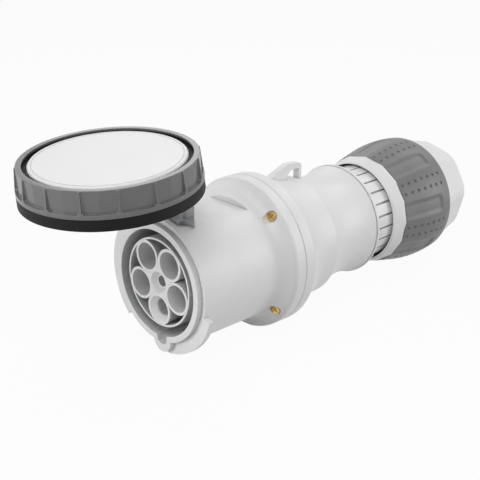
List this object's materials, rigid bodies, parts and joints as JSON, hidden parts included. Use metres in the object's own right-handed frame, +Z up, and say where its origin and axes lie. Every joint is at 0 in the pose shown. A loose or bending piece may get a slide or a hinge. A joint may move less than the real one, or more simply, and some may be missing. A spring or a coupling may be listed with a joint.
{
  "type": "industrial power connector",
  "caption": "In-line power connector with a round contact insert, hinged lid with a turning bayonet ring, tapered rear housing with hanging eye, and a cable gland nut.",
  "frame": {"origin": "centre of the collar's front rim, on the connector's axis", "axes": "+X along the axis from the mating face to the cable end, +Z up through the lid hinge"},
  "size_m": [0.4366, 0.13, 0.1723],
  "materials": {
    "white_moulding": "satin moulded polyamide",
    "inner_moulding": "matte moulded polyamide",
    "grey_moulding": "fine grained grey moulding",
    "black_liner": "black moulding",
    "seal_rubber": "moulded rubber",
    "brass": "turned brass",
    "steel": "turned steel"
  },
  "bodies": {
    "connector": {"front_housing": "white_moulding", "socket_sleeve": "white_moulding", "socket_floor": "white_moulding", "hinge_bracket": "inner_moulding", "hinge_pin": "steel", "contact_insert": "white_moulding", "socket_tubes": "white_moulding", "insert_sleeve": "white_moulding", "insert_hub": "white_moulding", "contact_carrier": "inner_moulding", "line_contact_1": "brass", "line_contact_2": "brass", "line_contact_3": "brass", "neutral_contact": "brass", "earth_contact": "brass", "pilot_contact": "brass", "terminal_screws": "steel", "carrier_screws": "steel", "housing_gasket": "seal_rubber", "housing_screws": "brass", "thread_inserts": "brass", "rear_housing": "white_moulding"},
    "lid": {"lid_cap": "white_moulding", "lid_gasket": "seal_rubber"},
    "lock_ring": {"bayonet_ring": "grey_moulding", "ring_liner": "black_liner"},
    "follower": {"gland_seal": "seal_rubber", "thrust_washer": "inner_moulding", "clamp_cage": "inner_moulding"},
    "nut": {"gland_nut": "white_moulding", "gland_grip": "grey_moulding"}
  },
  "joints": [
    {"name": "lid_hinge", "type": "hinge", "parent": "connector", "child": "lid", "pos_m": [0.03416, 0, 0.07005], "axis": [0, 1, 0], "range_deg": [-85.54, 130]},
    {"name": "bayonet_turn", "type": "hinge", "parent": "lid", "child": "lock_ring", "pos_m": [-0.0375, 0, 0.088], "axis": [0.0778, 0, -0.997], "range_deg": [0, 60]},
    {"name": "gland_advance", "type": "slide", "parent": "connector", "child": "follower", "axis": [-1, 0, 0], "range_m": [-0.004, 0.012]},
    {"name": "gland_turn", "type": "hinge", "parent": "follower", "child": "nut", "pos_m": [0.28, 0, 0], "axis": [-1, 0, 0], "range_deg": [-360, 1080]}
  ],
  "couplings": [
    {"joint": "gland_advance", "follows": "gland_turn", "m_per_rad": 0.00063661}
  ]
}
